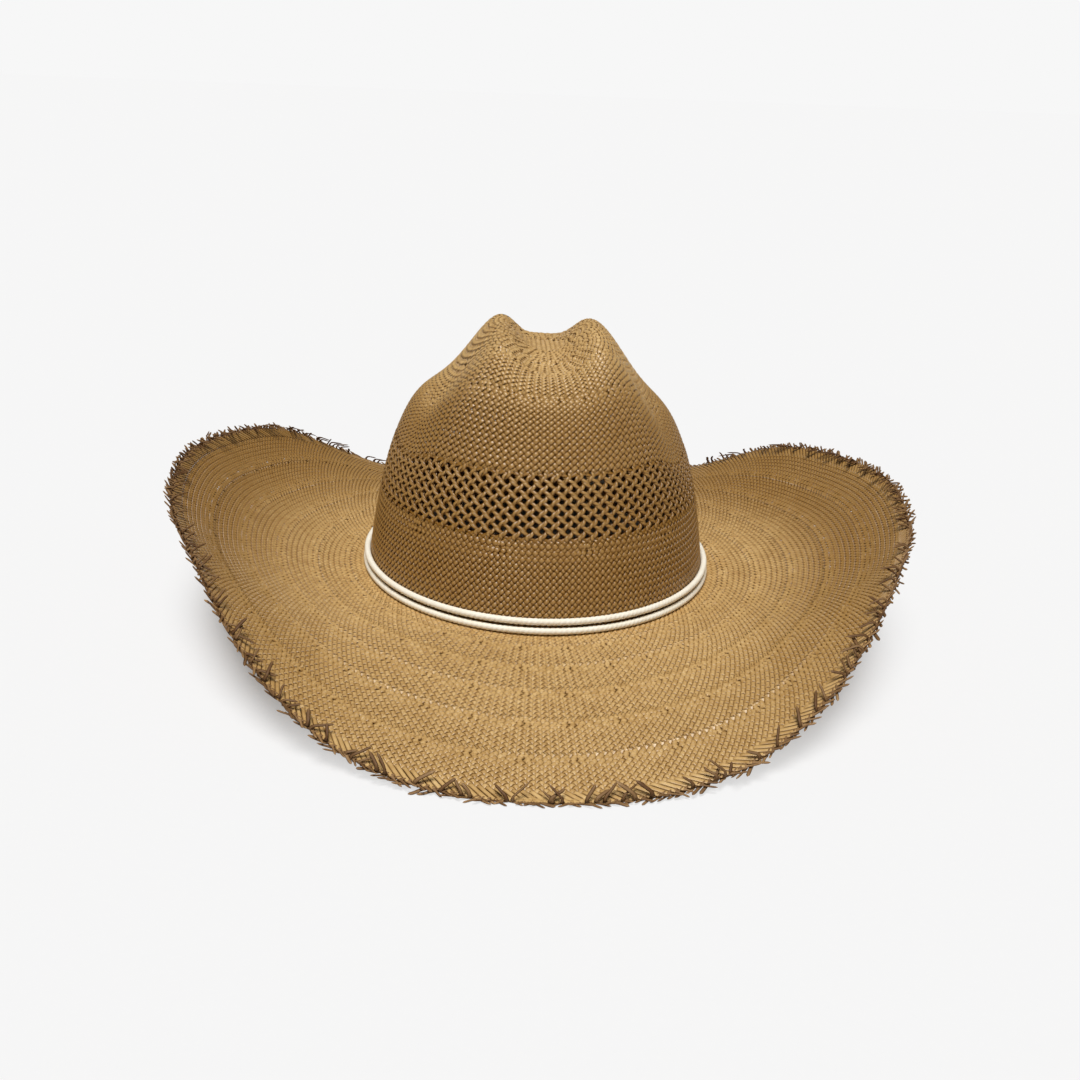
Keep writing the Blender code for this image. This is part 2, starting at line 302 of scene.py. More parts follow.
def brim_surface(angle, reach):
    """Top face of the brim, at a distance reach from the break."""
    outward = unit(np.stack([np.sin(angle) / HALF_WIDTH, -np.cos(angle) / HALF_LENGTH], axis=-1))
    flat_x = HALF_WIDTH * np.sin(angle) + outward[..., 0] * reach
    y = -HALF_LENGTH * np.cos(angle) + outward[..., 1] * reach
    side = np.sign(flat_x)
    away = np.abs(flat_x)
    lip = BEND_START_REAR + (BEND_START_FRONT - BEND_START_REAR) / (1 + np.exp(y / BEND_START_FADE))
    start = lip + (HALF_WIDTH - lip) / (1 + (y / BEND_LINE_LENGTH) ** 4)
    radius = BEND_RADIUS * (1 + RIGHT_RADIUS_SHARE * side)
    full = BEND_ANGLE * (1 + RIGHT_ANGLE_SHARE * side)
    along = np.maximum(away - start, 0)
    bend = np.minimum(along / radius, full)
    straight = np.maximum(along - radius * full, 0)
    x = np.minimum(away, start) + radius * np.sin(bend) + straight * np.cos(full)
    rise = radius * (1 - np.cos(bend)) + straight * np.sin(full)
    share = np.clip((np.abs(y) - DIP_START) / (DIP_FULL - DIP_START), 0, 1.5)
    drop = DIP * share**2 * (3 - share) / 2 * (1 - np.minimum(away / DIP_SIDE, 1) ** 2)
    return np.stack([side * x, y, BREAK_HEIGHT + rise - drop], axis=-1)


def dome_profile():
    """Distance from the tip of the crown along its middle profile, and the share and height there."""
    from_break = np.linspace(1, 0, 4001)
    share = 1 - from_break**2
    height = dome_height(share)
    steps = np.hypot(np.diff(share * MEAN_RADIUS), np.diff(height))
    return np.concatenate([[0], np.cumsum(steps)]), share, height


PROFILE_RUN, PROFILE_SHARE, PROFILE_HEIGHT = dome_profile()
CROWN_RUN = PROFILE_RUN[-1]
EDGE_RUN = CROWN_RUN + BRIM_WIDTH


def run_at_height(height):
    """Distance from the tip at which the open dome has a height above the break."""
    return np.interp(-height, -PROFILE_HEIGHT, PROFILE_RUN)


def share_at_run(run):
    """Share of the way from tip to break at a distance from the tip."""
    return np.interp(run, PROFILE_RUN, PROFILE_SHARE)


def hat_surface(angle, run):
    """Outer face of the crown and top face of the brim as one surface, with a small fillet at the break."""
    start = CROWN_RUN - FILLET
    end = CROWN_RUN + FILLET
    reach = (np.maximum(run, end) - CROWN_RUN) * brim_width(angle) / BRIM_WIDTH
    above = crown_surface(angle, share_at_run(np.minimum(run, start)))
    corner = crown_surface(angle, np.ones_like(run))
    beyond = brim_surface(angle, reach)
    turn = np.clip((run - start) / (end - start), 0, 1)[..., None]
    return (1 - turn) ** 2 * above + 2 * turn * (1 - turn) * corner + turn**2 * beyond


def hat_normal(angle, run):
    """Outward normal of the hat's surface."""
    small_turn = 0.003
    small_step = 0.3 * MM
    across = hat_surface(angle + small_turn, run) - hat_surface(angle - small_turn, run)
    down = hat_surface(angle, run + small_step) - hat_surface(angle, run - small_step)
    return unit(np.cross(down, across))


def distances(points):
    """Distance of each point from the start of its line, along the line."""
    steps = np.linalg.norm(np.diff(points, axis=-2), axis=-1)
    return np.concatenate([np.zeros_like(steps[..., :1]), np.cumsum(steps, axis=-1)], axis=-1)


# ---- meshes


def ribbon_rings(centre, normal, half_width, half_thickness, section, closed=False):
    """Rings of points round each centre line. centre and normal are [line, step, xyz], and the half sizes
    are one number or one per line and step."""
    if closed:
        tangent = unit(np.roll(centre, -1, axis=1) - np.roll(centre, 1, axis=1))
    else:
        tangent = unit(np.gradient(centre, axis=1))
    normal = unit(normal - np.sum(normal * tangent, axis=-1, keepdims=True) * tangent)
    side = np.cross(tangent, normal)
    section = np.array(section, float)
    wide = side[:, :, None] * (np.asarray(half_width)[..., None] * section[:, 0])[..., None]
    thick = normal[:, :, None] * (np.asarray(half_thickness)[..., None] * section[:, 1])[..., None]
    return centre[:, :, None] + wide + thick


def ring_faces(lines, steps, around, closed=False):
    """Quads between neighbouring rings, as indices into the flattened rings."""
    line = np.arange(lines)[:, None, None] * steps * around
    step = np.arange(steps if closed else steps - 1)[None, :, None]
    corner = np.arange(around)[None, None, :]
    next_step = (step + 1) % steps
    next_corner = (corner + 1) % around
    quads = [
        line + step * around + corner,
        line + step * around + next_corner,
        line + next_step * around + next_corner,
        line + next_step * around + corner,
    ]
    return np.stack(np.broadcast_arrays(*quads), axis=-1).reshape(-1, 4)


def make_mesh(name, points, quads, material, body, replaced, values=None):
    """Makes a smooth piece from points and quads, with one number per point for each named value."""
    points = points.reshape(-1, 3)
    mesh = bpy.data.meshes.new(name)
    mesh.vertices.add(len(points))
    mesh.vertices.foreach_set("co", points.astype(np.float32).ravel())
    mesh.loops.add(quads.size)
    mesh.loops.foreach_set("vertex_index", quads.astype(np.int32).ravel())
    mesh.polygons.add(len(quads))
    mesh.polygons.foreach_set("loop_start", np.arange(0, quads.size, 4, dtype=np.int32))
    mesh.update(calc_edges=True)
    mesh.shade_smooth()
    for label, numbers in (values or {}).items():
        attribute = mesh.attributes.new(label, "FLOAT", "POINT")
        attribute.data.foreach_set("value", numbers.astype(np.float32).ravel())
    mesh.materials.append(material)
    piece = add_object(name, mesh)
    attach(piece, body)
    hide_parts(*replaced)


def add_object(name, data):
    """A new object in the scene."""
    added = bpy.data.objects.new(name, data)
    bpy.context.scene.collection.objects.link(added)
    return added


class Bundle:
    """Ribbons gathered from several calls, which become one mesh."""

    def __init__(self):
        self.points = []
        self.quads = []
        self.values = {label: [] for label in STRAW_VALUES}
        self.count = 0

    def triangles(self):
        return 2 * sum(len(quads) for quads in self.quads)

    def add(self, rings, section, tone=0.5, along=0.0, age_and_shade=0.0, closed=False):
        """rings is [line, step, corner, xyz], and is kept above the table. tone is one number or one per
        line, and along and the browning and painted shade one number or one per line and step."""
        shape = rings.shape[:3]
        lines, steps, around = shape
        rings[..., 2] = np.maximum(rings[..., 2], LOWEST)
        across = np.array(section, float)[:, 0]
        self.points.append(rings.reshape(-1, 3))
        self.quads.append(ring_faces(lines, steps, around, closed) + self.count)
        self.count += lines * steps * around
        along, age_and_shade = np.asarray(along)[..., None], np.asarray(age_and_shade)[..., None]
        for label, value in zip(STRAW_VALUES, (np.reshape(tone, (-1, 1, 1)), along, across, age_and_shade)):
            self.values[label].append(np.array(np.broadcast_to(value, shape), float).ravel())

    def build(self, name, material, body, replaced, slot):
        values = {label: np.concatenate(parts) for label, parts in self.values.items()}
        points = np.concatenate(self.points)
        quads = np.concatenate(self.quads)
        make_mesh(name, points, quads, material, body, replaced, values)


def round_section(corners):
    """A circle of corners."""
    turns = np.arange(corners) * TURN / corners
    return tuple((math.cos(turn), math.sin(turn)) for turn in turns)


# ---- materials


def new_material(name, roughness, specular):
    """A new node material and its shader."""
    material = bpy.data.materials.new(name)
    material.use_nodes = True
    shader = material.node_tree.nodes["Principled BSDF"]
    shader.inputs["Roughness"].default_value = roughness
    shader.inputs["Specular IOR Level"].default_value = specular
    return material, shader


def feed(owner, socket, value):
    """Gives an input socket of a material or the world a value, or links it to the value's socket."""
    if isinstance(value, bpy.types.NodeSocket):
        owner.node_tree.links.new(value, socket)
    else:
        socket.default_value = value


def add_node(owner, kind, settings=None, **inputs):
    """A node with its settings, and its inputs by name, where _ stands for a space."""
    node = owner.node_tree.nodes.new(kind)
    for label, value in (settings or {}).items():
        setattr(node, label, value)
    for label, value in inputs.items():
        feed(owner, node.inputs[label.replace("_", " ")], value)
    return node


def maths(owner, operation, first, second=0.0):
    """The output of a Math node on two values or sockets."""
    node = add_node(owner, "ShaderNodeMath", {"operation": operation})
    feed(owner, node.inputs[0], first)
    feed(owner, node.inputs[1], second)
    return node.outputs[0]


def times(owner, first, second):
    """The product of two values or sockets."""
    return maths(owner, "MULTIPLY", first, second)


def plus(owner, first, second):
    """The sum of two values or sockets."""
    return maths(owner, "ADD", first, second)


def mix_colours(owner, blend, factor, first, second):
    """The output of a colour Mix node."""
    settings = {"data_type": "RGBA", "blend_type": blend}
    return add_node(owner, "ShaderNodeMix", settings, Factor=factor, A=first, B=second).outputs["Result"]


def colour_ramp(owner, factor, stops):
    """The colour output of a ramp through (place, colour) stops."""
    node = add_node(owner, "ShaderNodeValToRGB", Fac=factor)
    ramp = node.color_ramp
    for place, _ in stops[1:-1]:
        ramp.elements.new(place)
    for element, (place, colour) in zip(ramp.elements, stops):
        element.position = place
        element.color = (*colour, 1)
    return node.outputs["Color"]


def attribute_value(owner, label):
    """The number that a mesh carries under a label."""
    return add_node(owner, "ShaderNodeAttribute", {"attribute_name": label}).outputs["Fac"]


def add_bump(owner, shader, height, strength, distance):
    """Bump from a height socket."""
    bump = add_node(owner, "ShaderNodeBump", Strength=strength, Distance=distance, Height=height)
    feed(owner, shader.inputs["Normal"], bump.outputs["Normal"])


def straw_material(name, stops, age_and_shade_colour, roughness, gloss):
    """Split palm straw: each straw has its own tone, with fine fibres along it and darker edges, which are
    partly the straw's own edge stain and partly painted shade between straws. It is darkened where browned
    and where shade is painted.
    """
    material, shader = new_material(name, roughness, gloss)
    tone, along, across, age_and_shade = [attribute_value(material, label) for label in STRAW_VALUES]
    place = add_node(
        material,
        "ShaderNodeCombineXYZ",
        X=times(material, along, 160.0),
        Y=times(material, across, 2.2),
        Z=times(material, tone, 91.0),
    ).outputs[0]
    fibre = add_node(material, "ShaderNodeTexNoise", Vector=place, Scale=1.6, Detail=3.0, Roughness=0.6)
    fibre = fibre.outputs["Fac"]
    patch_along = times(material, along, 210.0)
    place = add_node(material, "ShaderNodeCombineXYZ", X=patch_along, Y=times(material, tone, 57.0))
    place = place.outputs[0]
    patch = add_node(material, "ShaderNodeTexNoise", Vector=place, Scale=1.0, Detail=2.0).outputs["Fac"]
    shade = plus(material, times(material, tone, 0.20), -0.05)
    shade = plus(material, shade, times(material, fibre, 0.35))
    shade = plus(material, shade, times(material, patch, 0.65))
    colour = colour_ramp(material, shade, stops)
    # Browning and painted shade: the colour is mixed towards a dark brown.
    colour = mix_colours(material, "MIX", age_and_shade, colour, (*age_and_shade_colour, 1))
    # Darker edges: partly the straw's own edge stain, partly painted shade in the gaps between straws.
    edge = maths(material, "POWER", maths(material, "ABSOLUTE", across), 3.0)
    edge = times(material, edge, 0.9)
    colour = mix_colours(material, "MULTIPLY", edge, colour, (0.30, 0.19, 0.09, 1))
    feed(material, shader.inputs["Base Color"], colour)
    rough = plus(material, times(material, fibre, 0.30), roughness - 0.15)
    feed(material, shader.inputs["Roughness"], rough)
    add_bump(material, shader, fibre, 0.35, 0.15 * MM)
    return material


def fibre_material(name, stops, roughness, scale, bump):
    """Cord, thread, leather, ribbon or card: a colour that varies with fine noise, which also raises it."""
    fine_share = 0.6
    material, shader = new_material(name, roughness, 0.35)
    place = add_node(material, "ShaderNodeTexCoord").outputs["Object"]
    fine = add_node(material, "ShaderNodeTexNoise", Vector=place, Scale=scale, Detail=4.0, Roughness=0.65)
    fine = fine.outputs["Fac"]
    broad = add_node(material, "ShaderNodeTexNoise", Vector=place, Scale=scale / 14, Detail=2.0)
    broad = broad.outputs["Fac"]
    mixed = plus(material, times(material, fine, fine_share), times(material, broad, 1 - fine_share))
    feed(material, shader.inputs["Base Color"], colour_ramp(material, mixed, stops))
    rough = plus(material, times(material, fine, 0.25), roughness - 0.12)
    feed(material, shader.inputs["Roughness"], rough)
    add_bump(material, shader, fine, bump, 0.3 * MM)
    return material


STRAW = straw_material(
    "woven_palm_straw",
    [
        (0.18, (0.36, 0.20, 0.06)), (0.45, (0.56, 0.35, 0.13)),
        (0.68, (0.69, 0.46, 0.19)), (0.92, (0.82, 0.60, 0.30)),
    ],
    age_and_shade_colour=(0.26, 0.122, 0.014),
    roughness=0.37,
    gloss=0.6,
)
RAW_STRAW = straw_material(
    "raw_straw_ends",
    [
        (0.15, (0.16, 0.085, 0.035)), (0.45, (0.30, 0.17, 0.07)),
        (0.7, (0.44, 0.27, 0.12)), (0.95, (0.62, 0.42, 0.22)),
    ],
    age_and_shade_colour=(0.105, 0.046, 0.014),
    roughness=0.55,
    gloss=0.25,
)
# Name, colour stops, roughness, scale of the fibre or grain, strength of its bump.
IVORY, LEATHER, REED_TAPE, THREAD, RIBBON, CARD = [
    fibre_material(*row)
    for row in (
        (
            "ivory_cord_fibre",
            [(0.3, (0.84, 0.77, 0.60)), (0.5, (0.93, 0.88, 0.75)), (0.7, (0.96, 0.93, 0.83))],
            0.55, 2600.0, 0.35,
        ),
        (
            "sweatband_leather_grain",
            [(0.3, (0.19, 0.085, 0.035)), (0.5, (0.27, 0.125, 0.052)), (0.7, (0.34, 0.17, 0.075))],
            0.42, 900.0, 0.45,
        ),
        ("reed_cotton_tape", [(0.3, (0.33, 0.25, 0.16)), (0.7, (0.55, 0.45, 0.32))], 0.75, 2200.0, 0.5),
        ("stitching_thread", [(0.3, (0.55, 0.42, 0.26)), (0.7, (0.78, 0.66, 0.46))], 0.6, 3000.0, 0.4),
        ("bow_ribbon_weave", [(0.3, (0.075, 0.038, 0.018)), (0.7, (0.15, 0.08, 0.04))], 0.45, 2400.0, 0.4),
        ("tag_card", [(0.3, (0.70, 0.66, 0.57)), (0.7, (0.86, 0.83, 0.75))], 0.7, 1500.0, 0.25),
    )
]


# ---- the weave


def even_rows(length, row, multiple):
    """A whole number of rows, in the given multiple, that fills a length."""
    return max(multiple, multiple * round(length / row / multiple))


def weave_plan():
    """The run of each row of crossings, and the zones: (name, first row, last row, straws in a family)."""
    vent_start = run_at_height(VENT_HIGH)
    vent_end = run_at_height(VENT_LOW)
    stretches = [
        (TIP_RADIUS, vent_start, ROW, 4),
        (vent_start, vent_end, VENT_ROW, 4),
        (vent_end, CROWN_RUN, ROW, 2),
        (CROWN_RUN, EDGE_RUN, BRIM_ROW, 2),
    ]
    runs = [TIP_RADIUS]
    ends = []
    for low, high, row, multiple in stretches:
        count = even_rows(high - low, row, multiple)
        runs.extend(low + (high - low) * (np.arange(count) + 1) / count)
        ends.append(len(runs) - 1)
    runs = np.array(runs)
    vent_first, vent_last, break_row, edge_row = ends

    def wanted(row):
        row = min(row, edge_row)
        reach = max(runs[row] - CROWN_RUN, 0)
        radius = MEAN_RADIUS * share_at_run(min(runs[row], CROWN_RUN)) + reach
        pitch = PITCH + (EDGE_PITCH - PITCH) * reach / BRIM_WIDTH
        return 2 * round(TURN * radius / pitch / 2)

    def growth(row):
        return CROWN_GROWTH if row < vent_first else BRIM_GROWTH

    vent_count = 2 * round(TURN * MEAN_RADIUS * share_at_run((vent_start + vent_end) / 2) / VENT_PITCH / 2)
    starts = {vent_first: ("vents", vent_count), vent_last: ("crown", wanted(break_row))}
    starts[break_row] = ("brim", wanted(break_row))
    zones = [["crown", 0, None, wanted(0)]]
    for row in range(1, edge_row):
        name, _, _, count = zones[-1]
        if row in starts:
            name, new_count = starts[row]
        elif name != "vents" and wanted(row) >= growth(row) * count and edge_row - row > JOIN_ROWS:
            new_count = wanted(row + LOOK_AHEAD_ROWS)
        else:
            continue
        if row < vent_first:
            new_count = min(new_count, vent_count)
        zones[-1][2] = row
        zones.append([name, row, None, max(new_count, count)])
    zones[-1][2] = edge_row
    return runs, zones, (vent_first, vent_last, edge_row)


RUNS, ZONES, (VENT_FIRST, VENT_LAST, EDGE_ROW) = weave_plan()


def carry_over(hand, row, old_count, new_count, residue):
    """For each straw of the new zone: the old straw it continues or -1, and how far off its place it starts.
    residue is how far each old straw still is off its own place."""
    old = np.arange(old_count)
    old_turn = (old + hand * row / 2) / old_count
    new = np.round(old_turn * new_count - hand * row / 2).astype(int) % new_count
    source = np.full(new_count, -1)
    source[new] = old
    new_turn = (np.arange(new_count) + hand * row / 2) / new_count
    shift = np.zeros(new_count)
    kept = source >= 0
    shift[kept] = old_turn[source[kept]] - new_turn[kept]
    shift = ((shift + 0.5) % 1 - 0.5) * TURN
    shift[kept] += residue[source[kept]]
    return source, shift


def crown_share(run):
    """1 on the crown and 0 on the brim, with a smooth change just above the break."""
    return 1 - smooth_step(CROWN_RUN - CROWN_FADE, CROWN_RUN, run)


def straw_lines(hand, zone, shift):
    """Angle, run, lift, how far the vents are open, and row, for one family of straws through one zone."""
    name, first, last, count = zone
    steps = (last - first) * (BRIM_STEPS_PER_ROW if name == "brim" else CROWN_STEPS_PER_ROW) + 1
    row = np.linspace(first, last, steps)[None, :]
    index = np.arange(count)[:, None]
    angle = TURN * (index + hand * row / 2) / count
    angle = angle + shift[:, None] * (1 - smooth_step(0, JOIN_ROWS, row - first))
    open_share = smooth_step(VENT_FIRST, VENT_FIRST + 2, row)
    open_share = open_share * (1 - smooth_step(VENT_LAST - 2, VENT_LAST, row))
    side = 1 - 2 * (index % 2)
    paired = TURN / count * side * (0.5 - PAIR_OFFSET * np.cos(math.pi * row / 2))
    angle = angle + open_share * paired
    wave = hand * WAVE * np.cos(math.pi * row)
    vent_wave = hand * VENT_WAVE * np.cos(math.pi * row / 2)
    vent_wave = vent_wave + side * VENT_WAVE * np.sin(math.pi * row / 2)
    floating = smooth_step(EDGE_ROW - FLOAT_ROWS - 1, EDGE_ROW - FLOAT_ROWS, row)
    wave = wave * (1 - floating) + hand * WAVE * floating
    lift = wave * (1 - open_share) + vent_wave * open_share
    run = np.broadcast_to(np.interp(row, np.arange(len(RUNS)), RUNS), angle.shape)
    upper = BRIM_UPPER_SHARE + (UPPER_SHARE - BRIM_UPPER_SHARE) * crown_share(run)
    lift = lift - hand * upper * WAVE * (1 - open_share)
    return angle, run, lift, open_share, row


def straw_age_and_shade(angle, run, lift):
    """How dark the straw's colour is made: painted shade on the crown's wall, up the brim's sides and where
    the straw passes under, painted shadow on the rear brim behind the crown, and its own browning in patches.
    """
    on_crown = 1 - smooth_step(CROWN_RUN - 2 * MM, CROWN_RUN + 2 * MM, run)
    wall = smooth_step(CROWN_RUN - 150 * MM, CROWN_RUN - 90 * MM, run) * on_crown
    reach = (run - CROWN_RUN) / BRIM_WIDTH
    sides = smooth_step(0.25, 0.75, reach) * np.abs(np.sin(angle)) ** 1.5
    rear = smooth_step(0.1, 0.9, -np.cos(angle)) * smooth_step(0.0, 0.4, reach)
    patch = 0.5 + 0.5 * np.sin(3 * angle + 40 * run) * np.cos(2 * angle - 55 * run)
    passing_under_shade = 1 - smooth_step(-0.5 * WAVE, 0.9 * WAVE, np.abs(lift))
    # The wall, sides and under terms are painted shade and the rear term is painted shadow; the patches are
    # the straw's own browning.
    age_and_shade = WALL_PAINTED_SHADE * wall + SIDE_PAINTED_SHADE * sides + REAR_PAINTED_SHADOW * rear + PATCH_AGE * patch + UNDER_PAINTED_SHADE * passing_under_shade
    return np.clip(age_and_shade, 0, 1)


def weave():
    """Makes all the straws of the crown and the brim, and returns where each straw leaves the edge."""
    ends = []
    for hand, hand_name in ((1, "right_laid"), (-1, "left_laid")):
        count = ZONES[0][3]
        tone = random.uniform(0, 1, count)
        widths = random.uniform(*STRAW_SHARES, count)
        shift = np.zeros(count)
        inserted = np.zeros(count, bool)
        travelled = random.uniform(0, 1, count)
        groups = {}
        for number, zone in enumerate(ZONES):
            if number > 0:
                residue = shift * (1 - smooth_step(0, JOIN_ROWS, zone[1] - ZONES[number - 1][1]))
                source, shift = carry_over(hand, zone[1], count, zone[3], residue)
                count = zone[3]
                inserted = source < 0
                tone = np.where(inserted, random.uniform(0, 1, count), tone[source])
                widths = np.where(inserted, random.uniform(*STRAW_SHARES, count), widths[source])
                travelled = np.where(inserted, random.uniform(0, 1, count), travelled[source])
            angle, run, lift, open_share, row = straw_lines(hand, zone, shift)
            normal = hat_normal(angle, run)
            centre = hat_surface(angle, run) + normal * (lift - WALL / 2)[..., None]
            centre[..., 2] = np.maximum(centre[..., 2], LOWEST + STRAW_THICKNESS / 2)
            tangent = unit(np.gradient(centre, axis=1))
            to_next = np.roll(centre, -1, axis=0) - centre
            apart = np.linalg.norm(to_next - np.sum(to_next * tangent, -1, keepdims=True) * tangent, axis=-1)
            neighbours = range(-3, 5)
            room = sum(np.roll(apart, near, axis=0) for near in neighbours) / len(neighbours)
            room = room * (1 + START_ALLOWANCE * (1 - smooth_step(*START_ROWS, row - zone[1])) * (number > 0))
            dense = np.clip(room / 2, *STRAW_HALF_WIDTHS) * widths[:, None]
            taper = 1 - START_TAPER * inserted[:, None] * (1 - smooth_step(0, 2, row - zone[1]))
            on_crown = crown_share(run)
            dense = dense * (COVER + (CROWN_COVER - COVER) * on_crown - hand * WIDER_SHARE * on_crown)
            dense = dense * (1 - BULGE * on_crown * (1 - np.minimum(np.abs(lift) / WAVE, 1)))
            half_width = (dense * (1 - open_share) + VENT_HALF_WIDTH * open_share) * taper
            half_thickness = STRAW_THICKNESS / 2 * (1 - open_share) + VENT_HALF_THICKNESS * open_share
            rings = ribbon_rings(centre, normal, half_width, half_thickness, STRAW_SECTION)
            along = travelled[:, None] + distances(centre)
            travelled = along[:, -1]
            part = "brim" if zone[0] == "brim" else "crown"
            bundles = groups.setdefault(part, [Bundle()])
            age_and_shade = straw_age_and_shade(angle, run, lift)
            for group in np.array_split(np.arange(count), STRAW_GROUPS):
                added = len(group) * rings.shape[1] * len(STRAW_SECTION) * 2
                if bundles[-1].triangles() + added > MOST_TRIANGLES:
                    bundles.append(Bundle())
                bundles[-1].add(rings[group], STRAW_SECTION, tone[group], along[group], age_and_shade[group])
        ends.append((hand, angle[:, -1], centre[:, -2:], normal[:, -1], half_width[:, -1], tone, travelled))
        for part, bundles in groups.items():
            for number, bundle in enumerate(bundles):
                name = f"{part}_straws_{hand_name}_{number + 1}"
                bundle.build(name, STRAW, "hat", [part], "straw")
    return ends


def weave_tip():
    """The small square patch of plain weave at the tip, from which the round weave starts."""
    bundle = Bundle()
    reach = TIP_RADIUS + TIP_OVERLAP
    half_count = int(reach / TIP_PITCH)
    for hand in (1, -1):
        offset = TIP_PITCH * np.arange(-half_count, half_count + 1)[:, None]
        half = np.sqrt(np.maximum(reach**2 - offset**2, (3 * MM) ** 2))
        steps = np.linspace(-1, 1, 4 * half_count + 1)[None, :]
        along = half * steps
        x, y = (offset + 0 * along, along) if hand > 0 else (along, offset + 0 * along)
        share = np.hypot(x / HALF_WIDTH, y / HALF_LENGTH)
        angle = np.arctan2(x / HALF_WIDTH, -y / HALF_LENGTH)
        run = np.interp(share, PROFILE_SHARE, PROFILE_RUN)
        normal = hat_normal(angle, np.maximum(run, 1 * MM))
        wave = hand * WAVE * np.cos(math.pi * along / TIP_PITCH) * np.cos(math.pi * offset / TIP_PITCH)
        centre = crown_surface(angle, share) + normal * (wave - WALL / 2 - TIP_SINK)[..., None]
        rings = ribbon_rings(centre, normal, COVER * TIP_PITCH / 2, STRAW_THICKNESS / 2, STRAW_SECTION)
        tone = random.uniform(0, 1, len(offset))
        bundle.add(rings, STRAW_SECTION, tone, along + 1, TIP_AGE)
    bundle.build("crown_tip_weave", STRAW, "hat", ["crown"], "straw")


# ---- the edge


def either(chosen, first, second):
    """Random numbers from the first range where chosen, and from the second elsewhere."""
    count = len(chosen)
    return np.where(chosen, random.uniform(*first, count), random.uniform(*second, count))


def fray(ends):
    """The raw ends of the straws past the brim's edge."""
    bundle = Bundle()
    share = np.linspace(0, 1, FRAY_STEPS)[None, :]
    for hand, angle, last_points, normal, half_width, tone, travelled in ends:
        count = len(angle)
        start = last_points[:, 1]
        forward = unit(last_points[:, 1] - last_points[:, 0])
        small_turn = 0.004
        edge = np.full(count, EDGE_RUN)
        along_edge = unit(hat_surface(angle + small_turn, edge) - hat_surface(angle - small_turn, edge))
        kind = random.uniform(0, 1, count)
        curled = kind < CURLED_SHARE
        standing = kind > 1 - STANDING_SHARE
        length = random.uniform(*STUB_LENGTHS, count)
        length = np.where(curled, random.uniform(*CURL_LENGTHS, count), length)
        length = np.where(standing, random.uniform(*STANDING_LENGTHS, count), length)
        turn = either(curled, CURL_TURNS, STUB_TURNS)
        turn = np.where(standing, random.uniform(*STANDING_TURNS, count), turn)
        lean = either(curled, CURL_LEANS, STUB_LEANS) * np.where(curled, 1, hand)
        kink = np.where(standing, random.uniform(*STANDING_KINKS, count), 0.0)
        bend = turn[:, None] * smooth_step(0.0, 0.4, share)
        sway = lean[:, None] * share + kink[:, None] * smooth_step(0.45, 0.6, share)
        direction = unit(
            forward[:, None] * (np.cos(bend) * np.cos(sway))[..., None]
            + normal[:, None] * (np.sin(bend) * 0.8 + 0.12 * curled[:, None])[..., None]
            + along_edge[:, None] * np.sin(sway)[..., None]
        )
        step = length[:, None, None] / (FRAY_STEPS - 1)
        moves = np.concatenate([np.zeros((count, 1, 3)), np.cumsum(direction[:, 1:] * step, axis=1)], axis=1)
        over = np.where(curled, random.uniform(*CURL_HEIGHTS_MM, count) * MM, 0.0)
        over = over[:, None] * smooth_step(0.05, 0.4, share)
        centre = start[:, None] + moves + normal[:, None] * over[..., None]
        centre[..., 2] = np.maximum(centre[..., 2], LOWEST + FRAY_HALF_THICKNESS)
        end_width = random.uniform(*FRAY_HALF_WIDTHS, count)[:, None]
        width = half_width[:, None] + (end_width - half_width[:, None]) * smooth_step(0.0, 0.3, share)
        width = width * (1.0 - 0.35 * smooth_step(0.8, 1.0, share))
        thickness = np.full(width.shape, FRAY_HALF_THICKNESS) * (1.0 - 0.4 * smooth_step(0.7, 1.0, share))
        face = unit(np.cross(direction, along_edge[:, None]))
        rings = ribbon_rings(centre, -face, width, thickness, STRAW_SECTION)
        tip = centre[:, -1:]
        rings[:, -1] = tip + 0.25 * (rings[:, -1] - tip)
        age_and_shade = either(curled, CURL_AGES, STUB_AGES)[:, None] - 0.25 * smooth_step(0.7, 1.0, share)
        along = travelled[:, None] + length[:, None] * share
        bundle.add(rings, STRAW_SECTION, tone, along, np.clip(age_and_shade, 0, 1))
    bundle.build("frayed_straw_ends", RAW_STRAW, "hat", ["frayed_fringe"], "straw_dark")


def edge_weft():
    """The twisted pair of straws that holds the last row of the brim."""
    bundle = Bundle()
    count = EDGE_CORD_STEPS
    angle = np.arange(count) * TURN / count
    run = np.full(count, EDGE_RUN - EDGE_CORD_INSET)
    middle = hat_surface(angle, run)
    normal = hat_normal(angle, run)
    lengths = np.linalg.norm(np.roll(middle, -1, axis=0) - middle, axis=1)
    twists = round(lengths.sum() / EDGE_CORD_TWIST)
    travelled = np.cumsum(lengths)
    phase = TURN * twists * travelled / travelled[-1]
    tangent = unit(np.roll(middle, -1, axis=0) - np.roll(middle, 1, axis=0))
    side = np.cross(tangent, normal)
    section = round_section(6)
    size = EDGE_CORD_RADIUS * EDGE_CORD_FULLNESS
    for ply in (0, 1):
        turn = (phase + math.pi * ply)[:, None]
        around = side * np.cos(turn) + normal * np.sin(turn)
        centre = middle - normal * (WALL / 2) + around * EDGE_CORD_RADIUS
        rings = ribbon_rings(centre[None], normal[None], size, size, section, closed=True)
        bundle.add(rings, section, 0.3 + 0.3 * ply, travelled[None, :], EDGE_CORD_AGE, closed=True)
    bundle.build("brim_edge_twisted_weft", RAW_STRAW, "hat", ["brim_edge_weft"], "straw_dark")


# ---- the hatband


